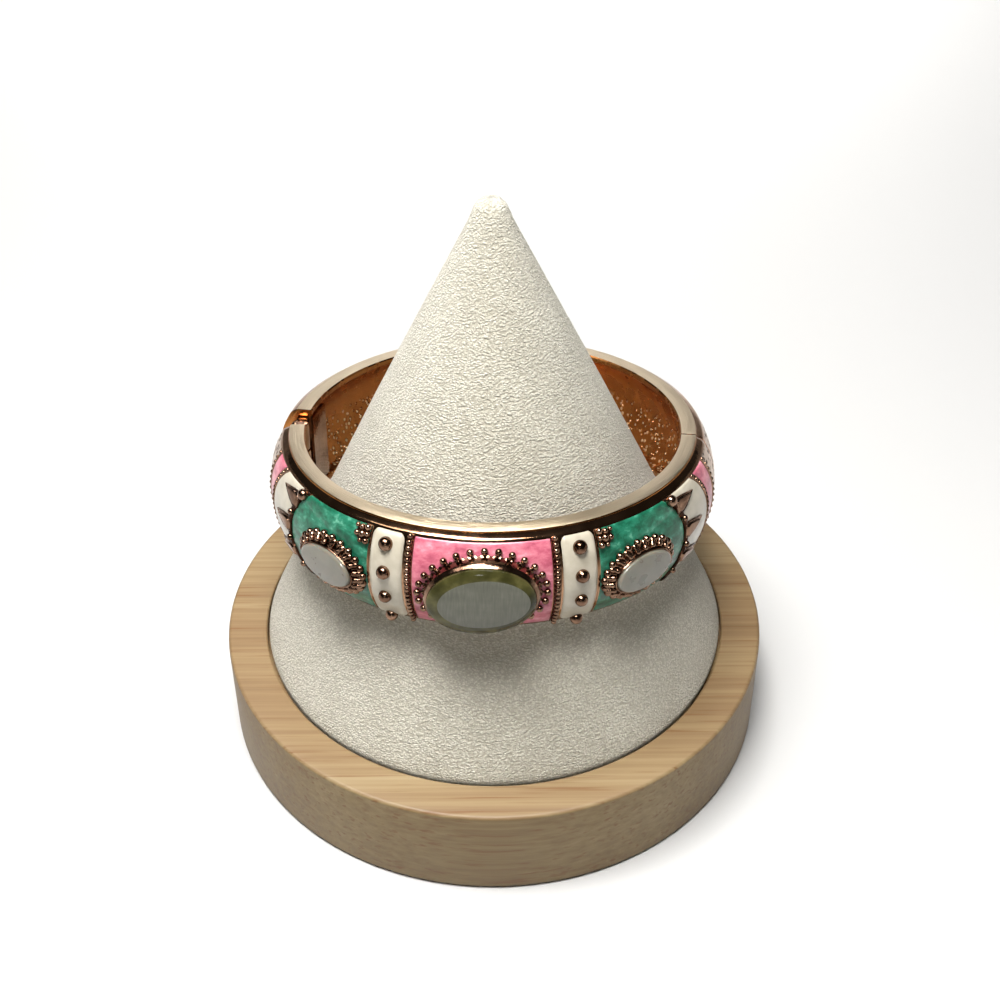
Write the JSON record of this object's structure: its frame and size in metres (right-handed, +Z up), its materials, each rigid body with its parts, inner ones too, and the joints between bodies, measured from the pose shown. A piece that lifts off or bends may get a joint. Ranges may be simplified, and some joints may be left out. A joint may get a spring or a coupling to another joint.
{
  "type": "hinged bangle on a display cone",
  "caption": "Enamelled rose-gold hinged bangle with three oval stones, leaning on a suede-covered display cone with a bamboo base.",
  "frame": {"origin": "centre of the underside of the bamboo base, on the table", "axes": "+Z up along the cone, -Y towards the front of the bangle, +X to the bangle's right as seen from the front"},
  "size_m": [0.09, 0.09, 0.0967],
  "materials": {
    "suede": "fine matte nap, light grey-beige",
    "bamboo": "clear satin finish, grain across the top",
    "rose_gold": "polished rose-gold plate over cast relief",
    "rose_gold_dark": "plain rose-gold steel, hinge pin and tongue",
    "pink_enamel": "pearly pink enamel, glossy",
    "white_enamel": "warm white enamel, glossy, slightly domed",
    "green_enamel": "pearly green enamel, glossy",
    "cat_eye_stone": "polished grey-green cat's-eye with a yellow-green rim",
    "pale_stone": "polished pale grey stone"
  },
  "bodies": {
    "stand_and_back": {"base": "bamboo", "cone": "suede", "back_half": "rose_gold", "hinge_pin": "rose_gold_dark"},
    "front": {"front_half": "rose_gold", "clasp_tongue": "rose_gold_dark", "centre_enamel": "pink_enamel", "white_enamel_left": "white_enamel", "white_enamel_right": "white_enamel", "green_enamel_left": "green_enamel", "green_enamel_right": "green_enamel", "crown_enamel_left": "white_enamel", "crown_enamel_right": "white_enamel", "end_enamel_left": "pink_enamel", "end_enamel_right": "pink_enamel", "centre_setting": "rose_gold", "side_setting_left": "rose_gold", "side_setting_right": "rose_gold", "centre_stone": "cat_eye_stone", "side_stone_left": "pale_stone", "side_stone_right": "pale_stone"}
  },
  "joints": [
    {"name": "hinge", "type": "hinge", "parent": "stand_and_back", "child": "front", "pos_m": [-0.03086, 0.00615, 0.04475], "axis": [0, -0.1564, -0.9877], "range_deg": [0, 50]}
  ]
}
